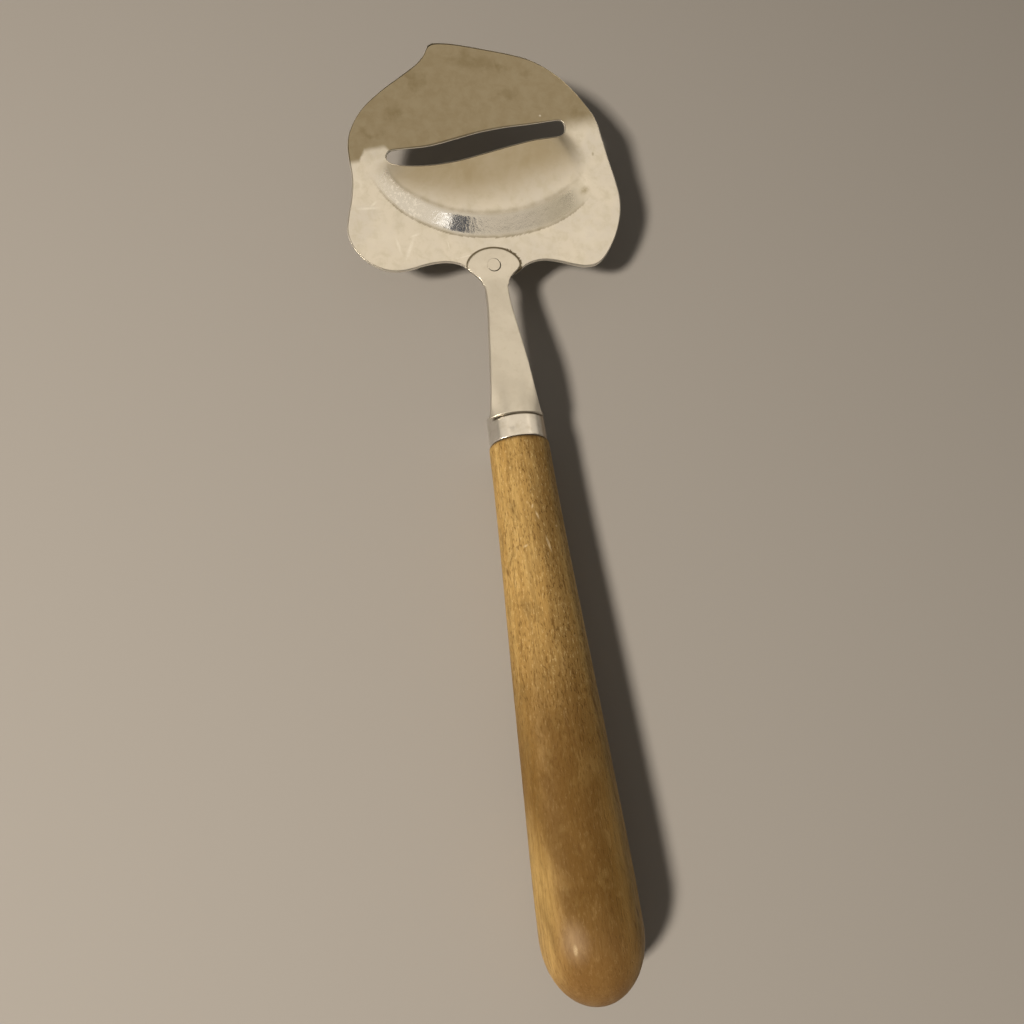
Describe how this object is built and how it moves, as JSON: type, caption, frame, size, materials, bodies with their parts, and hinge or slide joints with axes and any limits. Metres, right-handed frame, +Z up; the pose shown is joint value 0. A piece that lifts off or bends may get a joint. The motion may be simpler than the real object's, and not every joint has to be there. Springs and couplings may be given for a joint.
{
  "type": "cheese slicer",
  "caption": "Hand cheese slicer with a scalloped steel plate, slanted S-shaped slot, raised crescent step, riveted shank and long turned wooden handle.",
  "frame": {"origin": "middle of the overall box in X and Y, at the height of the handle's lowest line", "axes": "+Y from the butt of the handle to the front of the plate, +Z up, +X to the right when seen from above with the plate away from the viewer"},
  "size_m": [0.0756, 0.246, 0.0243],
  "materials": {
    "plate_steel": "worn satin stainless with a warm tarnish",
    "shank_steel": "satin stainless",
    "ferrule_steel": "polished with light scratches",
    "wood": "worn oiled hardwood with dark pores"
  },
  "bodies": {
    "root": {"slicer_plate": "plate_steel", "blade_rivet": "shank_steel", "shank": "shank_steel", "tang": "shank_steel", "ferrule": "ferrule_steel", "handle": "wood"}
  },
  "joints": []
}
